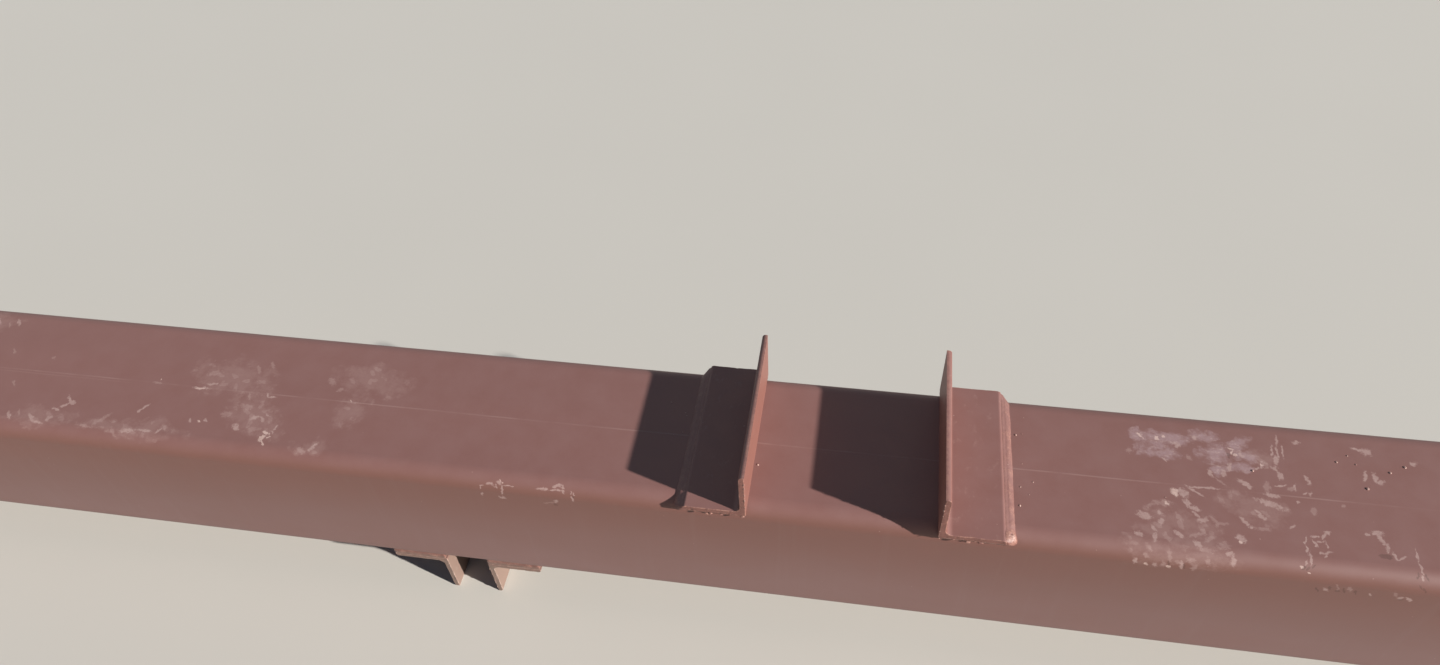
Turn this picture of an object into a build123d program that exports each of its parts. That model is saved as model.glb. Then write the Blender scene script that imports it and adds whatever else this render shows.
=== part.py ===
"""Square hollow section column with two pairs of rolled angle cleats welded across it.

Millimetres, +X along the column, +Z up. The origin is on the floor, under the middle of the
column's length and of its whole width. The column lies on the tips of its lower cleats.
"""

import os

from build123d import *

# Column: cold formed square hollow section
column_length = 6000.0
tube_width = 250.0
tube_depth = 250.0
tube_wall = 10.0
tube_outer_radius = 25.0
tube_inner_radius = 15.0

# Flash that the seam weld leaves along the inside of the top wall
seam_offset = -7.5
flash_width = 5.0
flash_height = 1.6

# Cleats: rolled equal angle
leg_length = 90.0
leg_thickness = 8.0
root_radius = 11.0
toe_radius = 5.5

# Upper pair: how far each cleat reaches past the tube's sides, and the gap between their heels
upper_near_overhang = 9.0
upper_far_overhang = 1.0
upper_gap = 262.0
upper_pair_from_left = 3609.0

# Lower pair: cut a little inside the tube's sides
lower_near_overhang = -2.0
lower_far_overhang = -2.0
lower_gap = 70.0
lower_pair_from_left = 3009.0

# Welds: a fillet along each toe, and the flare between each cleat's ends and the tube's corners
toe_weld_width = 11.0
toe_weld_height = 6.0
end_weld_depth = 15.0
end_weld_setback = 1.0
end_weld_root = 13.0
weld_bulge = 0.8

# Places that follow from the sizes
column_left = -column_length / 2
tube_axis_y = (upper_near_overhang - upper_far_overhang) / 2
floor_to_tube = leg_length
tube_axis_z = floor_to_tube + tube_depth / 2
weld_run = leg_length + toe_weld_width


def tube_outline():
    """The tube's outer outline, with rounded corners."""
    return RectangleRounded(tube_width, tube_depth, tube_outer_radius)


def tube_section():
    """The tube's wall, with the seam's flash on the inside of the top wall."""
    bore = RectangleRounded(tube_width - 2 * tube_wall, tube_depth - 2 * tube_wall, tube_inner_radius)
    flash = Pos(seam_offset, tube_depth / 2 - tube_wall) * Ellipse(flash_width / 2, flash_height)
    return tube_outline() - bore + flash


def along_x(section, start, length, centre_y, centre_z):
    """Extrude a section drawn in Y and Z along +X."""
    plane = Plane(origin=(start, centre_y, centre_z), x_dir=(0, 1, 0), z_dir=(1, 0, 0))
    return extrude(plane * section, amount=length)


def across_y(section, near_y, far_y):
    """Extrude a section drawn in X and Z from far_y to near_y."""
    plane = Plane(origin=(0, far_y, 0), x_dir=(1, 0, 0), z_dir=(0, -1, 0))
    return extrude(plane * section, amount=far_y - near_y)


def angle_section():
    """A rolled equal angle: heel at the origin, one leg along X and one along Z."""
    outline = Polyline(
        (0, 0),
        (leg_length, 0),
        (leg_length, leg_thickness),
        (leg_thickness, leg_thickness),
        (leg_thickness, leg_length),
        (0, leg_length),
        close=True,
    )
    section = make_face(outline)
    corners = section.vertices()
    root = corners.sort_by_distance((leg_thickness, leg_thickness, 0))[0]
    section = fillet(root, root_radius)
    for toe in ((leg_length, leg_thickness, 0), (leg_thickness, leg_length, 0)):
        corner = section.vertices().sort_by_distance(toe)[0]
        section = fillet(corner, toe_radius)
    return section


def cleat(near_y, far_y):
    """An angle laid across the tube's face, which is at Z = 0 here."""
    return across_y(angle_section(), near_y, far_y)


def bead_face(start, end):
    """A convex weld face: an arc that stands proud on the left of the way from start to end."""
    start, end = Vector(*start), Vector(*end)
    way = (end - start).normalized()
    crest = (start + end) / 2 + Vector(-way.Y, way.X) * weld_bulge
    return ThreePointArc(start, crest, end)


def weld_reach(near_y, far_y):
    """How far a cleat's weld reaches in Y and Z: it tapers down each round corner of the tube."""
    drop = tube_outer_radius - end_weld_depth
    inset = tube_outer_radius - (tube_outer_radius**2 - drop**2) ** 0.5
    foot_y = tube_width / 2 - inset
    near_end = (near_y + end_weld_setback, 0)
    far_end = (far_y - end_weld_setback, 0)
    near_foot = (-foot_y, -end_weld_depth)
    far_foot = (foot_y, -end_weld_depth)
    top = Polyline(near_end, (near_end[0], toe_weld_height), (far_end[0], toe_weld_height), far_end)
    far_face = bead_face(far_end, far_foot)
    near_face = bead_face(near_foot, near_end)
    return make_face([top, far_face, Line(far_foot, near_foot), near_face])


def weld_section():
    """The weld in X and Z: a fillet against the toe, and a band under the cleat for its ends."""
    inside_toe = leg_length - toe_radius
    crown = (leg_length, toe_weld_height)
    foot = (weld_run, 0)
    body = Polyline(
        foot,
        (weld_run, -end_weld_depth),
        (0, -end_weld_depth),
        (0, 0),
        (inside_toe, 0),
        (inside_toe, toe_weld_height),
        crown,
    )
    return make_face([body, bead_face(crown, foot)])


def weld(near_y, far_y):
    """The weld round three sides of a cleat: along its toe and under both of its ends."""
    bead = across_y(weld_section(), near_y, far_y) & along_x(weld_reach(near_y, far_y), 0, weld_run, 0, 0)
    unfused_width = tube_width - 2 * end_weld_root
    unfused = Pos(leg_length / 2, 0, -end_weld_depth / 2) * Box(leg_length, unfused_width, end_weld_depth)
    tube = along_x(tube_outline(), 0, weld_run, 0, -tube_depth / 2)
    return bead - unfused - tube - cleat(near_y, far_y)


def place(solid, side, level, pair_from_left, gap):
    """Turn a piece modelled for the upper right place to its own side and level, and set it down."""
    if side == "left":
        solid = mirror(solid, about=Plane.YZ)
    if level == "lower":
        solid = mirror(solid, about=Plane.XY)
    heel_x = column_left + pair_from_left + (gap / 2 if side == "right" else -gap / 2)
    face_z = floor_to_tube + (tube_depth if level == "upper" else 0)
    return Pos(heel_x, tube_axis_y, face_z) * solid


def build():
    """Every piece of the column by its node's name."""
    pieces = {"column_tube": along_x(tube_section(), column_left, column_length, tube_axis_y, tube_axis_z)}
    pairs = {
        "upper": (upper_near_overhang, upper_far_overhang, upper_pair_from_left, upper_gap),
        "lower": (lower_near_overhang, lower_far_overhang, lower_pair_from_left, lower_gap),
    }
    for level, (near_overhang, far_overhang, pair_from_left, gap) in pairs.items():
        near_y = -tube_width / 2 - near_overhang
        far_y = tube_width / 2 + far_overhang
        for side in ("left", "right"):
            where = (side, level, pair_from_left, gap)
            pieces[f"{level}_{side}_cleat"] = place(cleat(near_y, far_y), *where)
            pieces[f"{level}_{side}_weld"] = place(weld(near_y, far_y), *where)
    return pieces


os.makedirs("parts", exist_ok=True)
for node, piece in build().items():
    solids = piece.solids()
    shape = solids[0] if len(solids) == 1 else Compound(children=list(solids))
    shape.label = node
    export_step(shape, f"parts/{node}.step")
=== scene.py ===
"""Finish, cleats and weld beads of a square hollow section column, and the stage that it lies on.

Metres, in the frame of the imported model: X runs along the column, Z is up and the floor is at Z = 0.
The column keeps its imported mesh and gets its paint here. Each cleat is made again with worn arrises
and rough cut ends, and each weld as rippled beads with spatter beside them.
"""

import math
import random
from collections import namedtuple

import bmesh
import bpy
import numpy as np
from mathutils import Matrix, Vector, noise


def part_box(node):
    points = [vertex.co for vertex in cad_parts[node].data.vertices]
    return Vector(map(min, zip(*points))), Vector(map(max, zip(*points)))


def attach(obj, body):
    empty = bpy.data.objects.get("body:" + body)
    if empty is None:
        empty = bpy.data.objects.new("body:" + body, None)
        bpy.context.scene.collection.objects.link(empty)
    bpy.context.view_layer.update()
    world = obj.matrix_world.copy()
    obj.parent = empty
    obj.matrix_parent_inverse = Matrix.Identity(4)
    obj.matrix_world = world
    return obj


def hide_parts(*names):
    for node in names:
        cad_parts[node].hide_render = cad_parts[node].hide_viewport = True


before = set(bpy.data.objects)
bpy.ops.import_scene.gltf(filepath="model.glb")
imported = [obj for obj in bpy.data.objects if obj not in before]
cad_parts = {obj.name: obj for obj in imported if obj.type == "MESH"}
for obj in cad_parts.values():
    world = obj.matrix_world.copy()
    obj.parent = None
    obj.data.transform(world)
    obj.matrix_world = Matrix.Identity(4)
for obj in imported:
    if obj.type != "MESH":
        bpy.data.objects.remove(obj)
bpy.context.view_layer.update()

bl_info = {
    "name": "Column with Angle Cleats",
    "version": (1, 0, 0),
    "blender": (4, 5, 0),
    "location": "3D View > Sidebar > Column",
    "description": "Paints a steel column, makes its cleats and weld beads, and sets the stage",
    "category": "Object",
}

BODY = "root"
MM = 0.001
PLACES = ("upper_left", "upper_right", "lower_left", "lower_right")

# How far from a cleat's end its cut still shows in the faces
CUT_REACH = 7 * MM

# Toe beads: how far they lap onto the leg, how far in and down their root lies, how far in a lower
# one starts, how deep they hang where they bridge a round corner, how long their far taper and
# rounded start are, and where the swollen start is and how long
LAP = 2.2 * MM
ROOT_IN = 5 * MM
ROOT_DOWN = 2 * MM
LOWER_INSET = 12 * MM
BRIDGE_DEPTH = 4 * MM
FAR_TAPER = 16 * MM
NEAR_ROUND = 9 * MM
SWELL_PLACE = 11 * MM
SWELL_LENGTH = 8.5 * MM

# All beads: how far their edges are sunk into the steel, and from one ring of their mesh to the next
SUNK = 0.5 * MM
RING_STEP = 0.7 * MM

# Where the lamps stand, seen from the column
KEY_FROM = (0.859, -0.273, 0.434)
SOFT_FROM = (-0.55, 0.65, 0.75)

tube_low, tube_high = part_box("column_tube")
tube_axis_y = (tube_low.y + tube_high.y) / 2
tube_half = (tube_high.y - tube_low.y) / 2
tube_mid_z = (tube_low.z + tube_high.z) / 2


def shown(red, green, blue):
    """A colour as a screen shows it, 0 to 255, in the linear values that Blender's sockets take."""
    parts = (red / 255, green / 255, blue / 255)
    return tuple(c / 12.92 if c <= 0.04045 else ((c + 0.055) / 1.055) ** 2.4 for c in parts)


def colour_property(name, description, default):
    """A colour that the sidebar shows as a swatch."""
    return bpy.props.FloatVectorProperty(
        name=name, description=description, subtype="COLOR", size=3, min=0, max=1, default=default
    )


def length_property(name, description, default):
    """A length in metres."""
    return bpy.props.FloatProperty(name=name, description=description, unit="LENGTH", default=default)


def number_property(name, description, default):
    """A plain number."""
    return bpy.props.FloatProperty(name=name, description=description, default=default)


def angle_property(name, description, degrees):
    """An angle, whose default is given in degrees."""
    return bpy.props.FloatProperty(
        name=name, description=description, subtype="ANGLE", default=math.radians(degrees)
    )


def share_property(name, description, default):
    """A share from 0 to 1."""
    return bpy.props.FloatProperty(
        name=name, description=description, subtype="FACTOR", min=0, max=1, default=default
    )


class PaintSettings(bpy.types.PropertyGroup):
    """Colours of the primer and of what lies on it."""

    primer: colour_property("Primer", "Red oxide primer on every piece", shown(126, 80, 72))
    dust: colour_property("Dust", "Dust that lies on the top faces", shown(157, 137, 139))
    chalk: colour_property("Chalk", "Rubbed and trodden marks in the primer", shown(184, 155, 150))
    film: colour_property("Film", "Dry splashes that have left a film on the top", shown(168, 140, 143))
    # Also the colour of the brightest painted highlight on spatter, dross and weld swells
    flake_and_highlight: colour_property("Flakes", "Small places where the primer has come off", shown(228, 200, 190))
    earth: colour_property("Earth", "Dried splashes on what stands upright", shown(140, 124, 112))
    mud: colour_property("Mud", "Pale dust from the ground on the lowest faces", shown(146, 138, 126))
    # Also the colour of the painted highlight on weld crests, lumps and drops
    thin_and_highlight: colour_property("Thin paint", "Primer worn thin on arrises and crests", shown(176, 132, 118))
    # Also the colour of the painted shade in the weld's troughs and pits
    pit: colour_property("Pits", "Dirt in pits and in the dark of cut faces", shown(70, 48, 44))
    scale: colour_property("Mill scale", "Bare steel inside the bore", shown(74, 66, 64))
    rust: colour_property("Rust", "Light rust inside the bore", shown(118, 72, 48))
    dust_share: share_property("Dust share", "How much dust lies on the top faces", 0.22)
    scuff_share: share_property("Scuff share", "How strongly the rubbed marks show", 0.6)
    gloss: share_property("Roughness", "Roughness of clean primer", 0.44)
    corner_radius: length_property("Corner radius", "Outer corner radius of the tube", 25 * MM)
    wall: length_property("Wall", "Wall thickness of the tube", 10 * MM)
    seam_y: length_property("Seam", "Where the planed seam runs on the top face", tube_axis_y - 7.5 * MM)


class CleatSettings(bpy.types.PropertyGroup):
    """Section and cut of the rolled angles."""

    thickness: length_property("Thickness", "Thickness of both legs", 8 * MM)
    root_radius: length_property("Root radius", "Fillet between the legs", 11 * MM)
    toe_radius: length_property("Toe radius", "Rounding of each leg's inner toe", 5.5 * MM)
    arris: length_property("Arris", "Rounding of the cut edges", 0.6 * MM)
    cut_wave: length_property("Cut wave", "How far the cut wanders", 0.9 * MM)
    cut_drag: length_property("Drag lines", "Depth of the lines that the cutter leaves", 0.2 * MM)
    nick_depth: length_property("Nicks", "Depth of the nicks in the cut ends", 1.8 * MM)


class WeldSettings(bpy.types.PropertyGroup):
    """Sizes of the weld beads and their spatter."""

    toe_width: length_property("Toe width", "Width of the bead along each toe", 12.8 * MM)
    toe_height: length_property("Toe height", "Height of the bead up the toe", 6.3 * MM)
    end_depth: length_property("End depth", "How far the end beads reach down the corners", 15 * MM)
    end_root: length_property("End root", "How far in from the tube's side the end beads reach", 13 * MM)
    setback: length_property("Setback", "How far the beads stop short of the cleat's ends", 1 * MM)
    bulge: length_property("Bulge", "How far a bead's face stands proud", 1.4 * MM)
    swell: length_property("Swell", "How far a toe bead swells at its start", 2.2 * MM)
    trough: length_property("Trough", "Depth of the trough between a toe bead's two runs", 0.35 * MM)
    ripple_pitch: length_property("Ripple pitch", "Distance from one ripple to the next", 2.6 * MM)
    ripple_height: length_property("Ripple height", "Height of the ripples", 0.35 * MM)
    lump_height: length_property("Lump height", "Height of the uneven lumps", 0.8 * MM)
    lump_size: length_property("Lump size", "Distance from one lump to the next", 9 * MM)
    spatter: bpy.props.IntProperty(
        name="Spatter", description="Drops of spatter round each weld", min=0, default=5
    )


class StageSettings(bpy.types.PropertyGroup):
    """Floor, lamps and camera."""

    floor: colour_property("Floor", "Pale floor and backdrop", shown(206, 204, 198))
    key: number_property("Key", "Strength of the key lamp", 6.3)
    key_colour: colour_property("Key colour", "Warm light of the key lamp", (1.0, 0.945, 0.875))
    key_spread: angle_property("Key spread", "Angle across the key lamp", 1.3)
    soft: number_property("Soft", "Strength of the soft lamp", 0.15)
    soft_colour: colour_property("Soft colour", "Cool light of the soft lamp", (0.55, 0.78, 1.0))
    soft_spread: angle_property("Soft spread", "Angle across the soft lamp", 80)
    fill: number_property("Fill", "Strength of the light from all round", 0.1)
    fill_colour: colour_property("Fill colour", "Cool light from all round", (0.36, 0.6, 1.0))
    lens: bpy.props.FloatProperty(name="Lens", description="Focal length", unit="CAMERA", default=24.905)
    place: bpy.props.FloatVectorProperty(
        name="Place", description="Where the camera is", subtype="XYZ", unit="LENGTH",
        default=(0.6117, -0.8608, 1.5281),
    )
    yaw: angle_property("Yaw", "Turn from the column's square view", 11.75)
    dip: angle_property("Dip", "How far the camera looks down", 47.45)
    roll: angle_property("Roll", "Tilt of the camera about its own line of sight", -3.853)


class Graph:
    """Writes the nodes of a material or a world. Most methods return the socket that they end in."""

    def __init__(self, owner):
        self.owner = owner
        owner.use_nodes = True
        self.tree = owner.node_tree
        self.tree.nodes.clear()

    def node(self, kind, inputs=(), **settings):
        """Add a node, set its properties, and feed its inputs with sockets or plain values."""
        made = self.tree.nodes.new(kind)
        for key, value in settings.items():
            setattr(made, key, value)
        for key, value in dict(inputs).items():
            if isinstance(value, bpy.types.NodeSocket):
                self.tree.links.new(value, made.inputs[key])
            else:
                made.inputs[key].default_value = value
        return made

    def math(self, operation, first, second=0.0, third=0.0):
        values = {0: first, 1: second, 2: third}
        return self.node("ShaderNodeMath", values, operation=operation).outputs[0]

    def add(self, first, second):
        return self.math("ADD", first, second)

    def times(self, first, second):
        return self.math("MULTIPLY", first, second)

    def most(self, first, second):
        return self.math("MAXIMUM", first, second)

    def inverse(self, value):
        return self.math("SUBTRACT", 1.0, value)

    def step(self, value, low, high):
        """0 below low and 1 above high, smooth between them. With low above high it falls instead."""
        inputs = {"Value": value, "From Min": low, "From Max": high}
        return self.node("ShaderNodeMapRange", inputs, interpolation_type="SMOOTHSTEP").outputs[0]

    def between(self, value, low, high):
        """Spread a share from 0 to 1 over low to high."""
        inputs = {"Value": value, "To Min": low, "To Max": high}
        return self.node("ShaderNodeMapRange", inputs).outputs[0]

    def vector(self, operation, first, second=(0, 0, 0)):
        made = self.node("ShaderNodeVectorMath", {0: first, 1: second}, operation=operation)
        return made.outputs["Value" if operation in ("LENGTH", "DISTANCE") else "Vector"]

    def scaled(self, colour, factor):
        """A colour made lighter or darker by a factor."""
        inputs = {0: colour, "Scale": factor}
        return self.node("ShaderNodeVectorMath", inputs, operation="SCALE").outputs[0]

    def mixed(self, first, second, share):
        """The first colour, with a share of the second."""
        colours = {"Factor": share, 6: first, 7: second}
        for socket in (6, 7):
            if not isinstance(colours[socket], bpy.types.NodeSocket):
                colours[socket] = (*colours[socket], 1)
        return self.node("ShaderNodeMix", colours, data_type="RGBA").outputs[2]

    def position(self):
        """The place on the object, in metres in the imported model's frame."""
        return self.node("ShaderNodeTexCoord").outputs["Object"]

    def facing(self):
        return self.split(self.node("ShaderNodeTexCoord").outputs["Normal"])

    def split(self, vector):
        return self.node("ShaderNodeSeparateXYZ", {0: vector}).outputs[:3]

    def joined(self, x, y, z=0.0):
        return self.node("ShaderNodeCombineXYZ", {0: x, 1: y, 2: z}).outputs[0]

    def noise(self, at, size, detail=3.0, roughness=0.55, stretch=(1, 1, 1)):
        """Soft noise whose patches are about this size, longer along an axis where stretch is over 1."""
        squeezed = self.vector("DIVIDE", at, stretch)
        inputs = {"Vector": squeezed, "Scale": 1 / size, "Detail": detail, "Roughness": roughness}
        return self.node("ShaderNodeTexNoise", inputs).outputs[0]

    def swerved(self, at, size, reach):
        """The place, moved about by noise of this size."""
        inputs = {"Vector": at, "Scale": 1 / size, "Detail": 2.0}
        colour = self.node("ShaderNodeTexNoise", inputs).outputs["Color"]
        away = self.vector("SUBTRACT", colour, (0.5, 0.5, 0.5))
        return self.vector("ADD", at, self.scaled(away, reach))

    def attribute(self, name):
        return self.node("ShaderNodeAttribute", attribute_name=name).outputs["Fac"]

    def patch(self, at, x, y, reach, half, turn):
        """1 in the middle of a small ellipse and 0 from its rim outwards. In millimetres and degrees."""
        made = self.node("ShaderNodeTexGradient", {0: at}, gradient_type="SPHERICAL")
        made.texture_mapping.vector_type = "TEXTURE"
        made.texture_mapping.translation = (x * MM, y * MM, 0)
        made.texture_mapping.rotation = (0, 0, math.radians(turn))
        made.texture_mapping.scale = (reach * MM, half * MM, 1)
        return made.outputs["Fac"]

    def patches(self, at, marks, rim=1.0):
        """Several patches in one, each widened by rim."""
        total = 0.0
        for x, y, reach, half, turn in marks:
            total = self.most(total, self.patch(at, x, y, reach * rim, half * rim, turn))
        return total

    def finish(self, colour, roughness, height=None):
        """Close the graph with a painted surface. height is in metres."""
        inputs = {"Base Color": colour, "Roughness": roughness}
        if height is not None:
            relief = {"Height": height, "Distance": 1.0, "Strength": 1.0}
            inputs["Normal"] = self.node("ShaderNodeBump", relief).outputs[0]
        surface = self.node("ShaderNodeBsdfPrincipled", inputs)
        self.node("ShaderNodeOutputMaterial", {"Surface": surface.outputs[0]})
        return self.owner


Layers = namedtuple("Layers", "colour roughness height")

# Marks on the top and near corner, as (x, girth, half length, half width, turn) in millimetres and
# degrees. girth is y across the top, and it goes on down the sides. FILM is dried splashes and HAZE
# trodden dust, most of them first read in pixels and converted, then nudged one by one. RUBS and
# FAINT are scuffs, FLAKES lost primer and DIRT what stuck to it, all read in millimetres.
FILM = (
    (1022, 78, 24, 14, 75), (1048, 76, 27, 21, 10), (1070, 82, 27, 14, -10), (1062, 54, 24, 18, 5),
    (1086, 70, 16, 10, 15), (1110, 80, 24, 16, 10), (1124, 50, 23, 19, 0), (1130, 32, 20, 12, 20),
    (1156, 78, 31, 12, 34), (1162, 58, 20, 15, 15), (1157, 36, 20, 9, 5), (1036, 52, 19, 16, 5),
)
HAZE = (
    (1060, -124, 80, 24, 3), (1183, 56, 27, 17, -42), (1020, -106, 44, 18, 5), (1080, -92, 45, 20, 0),
    (1066, -63, 57, 24, -13), (1028, -77, 35, 15, -3), (1162, -26, 50, 30, -20),
    (-368, 20, 94, 45, -10), (-300, -46, 78, 34, -32), (-485, -93, 110, 24, 2),
    (-640, -90, 66, 26, 0), (-188, -95, 36, 18, 20), (-140, 46, 80, 36, -8), (-152, -16, 34, 36, 0),
)
RUBS = (
    (1074, 66, 6, 4, -50), (1053, 38, 5, 1.5, -50), (1100, 82, 5, 4, 10), (1139, 35, 9, 3, 70),
    (1130, 23, 7, 4, 80), (1112, 22, 7, 3, -75), (1154, 11, 10, 4, -35), (1161, 5, 4, 4, 80),
    (1158, 58, 5, 1.5, -80), (1184, 44, 7, 2, 80), (1176, 37, 5, 2, 30), (1070, -16, 9, 7, -40),
    (1087, -12, 14, 2, -35), (1100, -4, 22, 2, 2), (1073, -32, 8, 4, -60), (1080, -39, 9, 4, -5),
    (1082, -49, 7, 3, -50), (1090, -57, 8, 4, 35), (1014, -60, 10, 6, -20), (1035, -53, 6, 3.5, -50),
    (1035, -66, 6, 4, 60), (1145, -54, 11, 3, -50), (1164, -36, 5, 2, -45), (1168, -43, 6, 3.5, -25),
    (1134, -81, 8, 6, -60), (1182, -20, 20, 5, -18), (1188, -6, 10, 4, -10), (1024, -78, 6, 3, -60),
    (1024, -92, 8, 3, 80), (1003, -90, 7, 4, 0), (1055, -83, 7, 3.5, -45), (1078, -97, 8, 4, -60),
    (1116, -106, 6, 4, 30), (1121, -117, 13, 3.5, -85), (1058, -137, 9, 3, -80),
    (1000, -139, 7, 3, 85), (1026, -144, 6, 3, -65), (1213, 91, 10, 1.8, 80), (1210, 70, 11, 1.8, 88),
    (1203, 72, 12, 1.8, 80), (1217, 72, 11, 1.5, 85), (1205, 55, 10, 3.5, 85), (1200, 41, 5, 4, -40),
    (1205, 29, 7, 4, -85), (1240, 26, 8, 3, -80), (1238, 90, 6, 3, 15), (1203, 12, 8, 1.8, 10),
    (1221, 13, 6, 1.8, 75), (1233, 3, 5, 1.3, 45), (1239, 3, 4, 2, 65), (1220, -13, 2.5, 2.5, 0),
    (1204, -53, 5, 2.5, 40), (1320, 88, 9, 3, -10), (1330, 85, 8, 6, 0), (1318, 42, 11, 3, 75),
    (1331, 42, 8, 4, -85), (1336, 34, 6, 4, 45), (1388, 72, 5, 5, 60), (1310, -50, 8, 4, 0),
    (1297, -53, 4, 2.5, 20), (1312, -59, 9, 3.5, -65), (1317, -71, 8, 2.5, 75),
    (1322, -82, 7, 2, -80), (1331, -85, 7, 1.6, 30), (1246, -57, 5, 3.5, 30), (1240, -64, 7, 2.5, 45),
    (1229, -65, 6, 2, 5), (1227, -76, 6, 1.6, -70), (1234, -72, 6, 1.5, 5), (1242, -77, 6, 1.6, -80),
    (1237, -88, 9, 1.8, 12), (1236, -93, 3, 1.4, 60), (1216, -74, 8, 1.4, 75),
    (1215, -87, 8, 1.6, 88), (1217, -100, 12, 1.6, 82), (1211, -107, 5, 1.4, 80),
    (1350, -78, 10, 1.4, 85), (1350, -98, 9, 1.5, -85), (1350, -112, 7, 1.8, -80),
    (1243, -157, 6, 2.5, -50), (1297, -158, 4, 2, -55), (1334, -158, 4, 3.5, -30),
    (1344, -159, 6, 3, -45), (-613, -53, 12, 2.5, -48), (-606, -58, 6, 4, 0), (-625, -73, 8, 2, -15),
    (-615, -65, 9, 2.5, 35), (-655, -93, 12, 3, -40), (-643, -101, 12, 3, -10), (-625, -92, 6, 4, 50),
    (-694, -94, 9, 3, -50), (-483, -53, 10, 2, 60), (-488, -61, 3, 3, 0), (-412, -5, 15, 2.5, 3),
    (-417, -8, 6, 2, -20), (-398, 5, 9, 2.5, 10), (-397, -68, 5, 1.6, -50), (-372, -65, 5, 2, -50),
    (-297, -6, 5, 2, -60), (-288, -9, 8, 2, 10), (-298, -51, 7, 4, 30), (-284, -52, 6, 3, -50),
    (-279, -44, 6, 1.6, -45), (-318, -72, 8, 5, -45), (-256, -66, 6, 2, 80), (-257, -74, 4, 2, -50),
    (-182, -93, 10, 3, 65), (-485, -99, 12, 4, 15), (-460, -95, 12, 3, 0), (-436, -93, 7, 2.5, 60),
    (88, -131, 3.5, 1.5, 15), (86, -136, 6, 1.2, 88), (86, -153, 5, 1.8, 75), (100, -126, 5, 2.5, 10),
    (111, -130, 5, 1.5, -85), (115, -122, 5, 3, -60), (119, -136, 14, 1.8, 87), (116, -157, 6, 4, 15),
    (129, -126, 8, 1.6, 3), (180, -125, 10, 3, 5), (195, -126, 6, 2, 25), (203, -115, 8, 2.5, 15),
    (198, -119, 4, 2, -40), (210, -117, 4, 2.5, -40), (211, -126, 6, 2, -70), (205, -125, 4, 2, -20),
    (223, -127, 4, 1, 85), (227, -130, 4, 1.2, -85), (225, -141, 7, 2, -88), (199, -151, 4, 3.5, 60),
)
FAINT = (
    (1006, 48, 6, 4, 0), (1087, 45, 6, 4, -45), (1189, 45, 6, 4, -85), (1122, 10, 12, 1.8, -42),
    (1184, 8, 9, 5, 80), (1040, -36, 14, 5, 5), (1023, -43, 7, 3, 20), (1104, -55, 9, 3, -60),
    (1109, -62, 7, 3, 35), (1116, -60, 8, 3, 5), (1165, -62, 11, 3, 0), (1060, -56, 8, 3, -60),
    (1088, -76, 7, 3, -70), (1078, -82, 12, 2.5, 20), (1095, -86, 9, 3, 35), (1040, -90, 8, 4, -60),
    (1088, -104, 9, 5, -10), (1110, -95, 9, 6, 15), (1068, -128, 9, 4, -60), (1075, -139, 8, 4, 85),
    (1090, -125, 10, 3, -80), (1042, -122, 12, 3, -80), (1036, -138, 7, 3, -80),
    (1016, -110, 8, 3, -70), (1012, -125, 7, 3, -80), (1216, 8, 6, 3, 0), (1325, -150, 7, 2.5, -60),
    (1237, -25, 6, 4, 80), (1277, -11, 3, 3, 0), (1255, -150, 8, 2, -60), (1270, -150, 8, 2, -60),
    (-695, 26, 4, 3, -30), (-681, -86, 7, 2, -50), (-490, -3, 8, 2.5, 0), (-325, -12, 8, 2.5, -60),
    (-336, 42, 11, 3, -55), (-318, 54, 9, 3, -50), (-206, 33, 10, 5, -45), (-186, 18, 5, 4, 20),
    (-318, -33, 9, 6, 0), (-198, -102, 9, 5, -45), (-560, -98, 12, 3, -5), (-537, -81, 12, 4, 55),
    (-430, -86, 8, 2, -50), (-508, -105, 12, 3, -50), (-405, 27, 12, 5, 20), (-345, -50, 9, 6, 0),
    (-728, -33, 8, 2, -50), (188, -157, 11, 2.5, 20), (106, -128, 5, 2.5, -60),
)
FLAKES = (
    (1047, 75, 3.5, 3, 20), (1057, 79, 2.5, 2, 0), (1024, 77, 6, 2, -50), (1147, 62, 3.5, 1.5, 75),
    (1151, 57, 4, 2, -20), (1146, 68, 5, 1.5, -25), (1059, -16, 8, 5, -70), (1046, -35, 4, 2, -35),
    (1014, -143, 5, 2.2, -50), (1043, -144, 4, 2.5, -50), (1133, -86, 3.5, 2, -30),
    (1184, 45, 3, 1, 80), (1205, -117, 3, 2, -50), (1214, -124, 3, 1.6, -45), (-268, -86, 7, 4, 65),
    (-263, -95, 6, 1.8, -55), (-267, -76, 8, 2, -20), (-259, -83, 4, 1.5, 30),
    (-382, -68, 2.5, 1.8, 0), (-487, 4, 2, 1.2, -55), (-160, -1, 3, 1.5, -55), (-413, -6, 9, 1.6, 2),
    (116, -118, 4, 1.5, -60), (120, -121, 3, 1.5, -30),
)
DIRT = (
    (1142, 56, 5, 2, -75), (1062, -139, 5, 1.5, -80), (1042, -136, 5, 1.5, -80),
    (1311, -84, 8, 3.5, 5), (1208, -117, 5, 1.8, 60), (1213, -117, 4, 1.5, 60),
    (1219, -113, 5, 1.2, 60), (1345, -108, 6, 1, 80), (1355, -111, 7, 1.1, -75),
    (1349, -130, 5, 1.2, -65), (1354, -135, 5, 1.2, -65), (1234, -160, 6, 1.6, -60),
    (1246, -152, 5, 1.6, -60), (1258, -157, 3, 2.5, 0), (1265, -155, 6, 1.6, -60),
    (1279, -156, 6, 1.5, -60), (1336, -162, 3, 2, 0), (227, -136, 3, 1.1, 90),
    (197, -160, 2.5, 2.5, 0),
)

# A small mark fades towards its rim, so the rim is drawn this much wider than the mark shows
RIM = 1.35

# Marks repeat, turned half round, beyond this stretch of x
MARKED_FROM, MARKED_LENGTH = -0.75, 2.30


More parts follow.
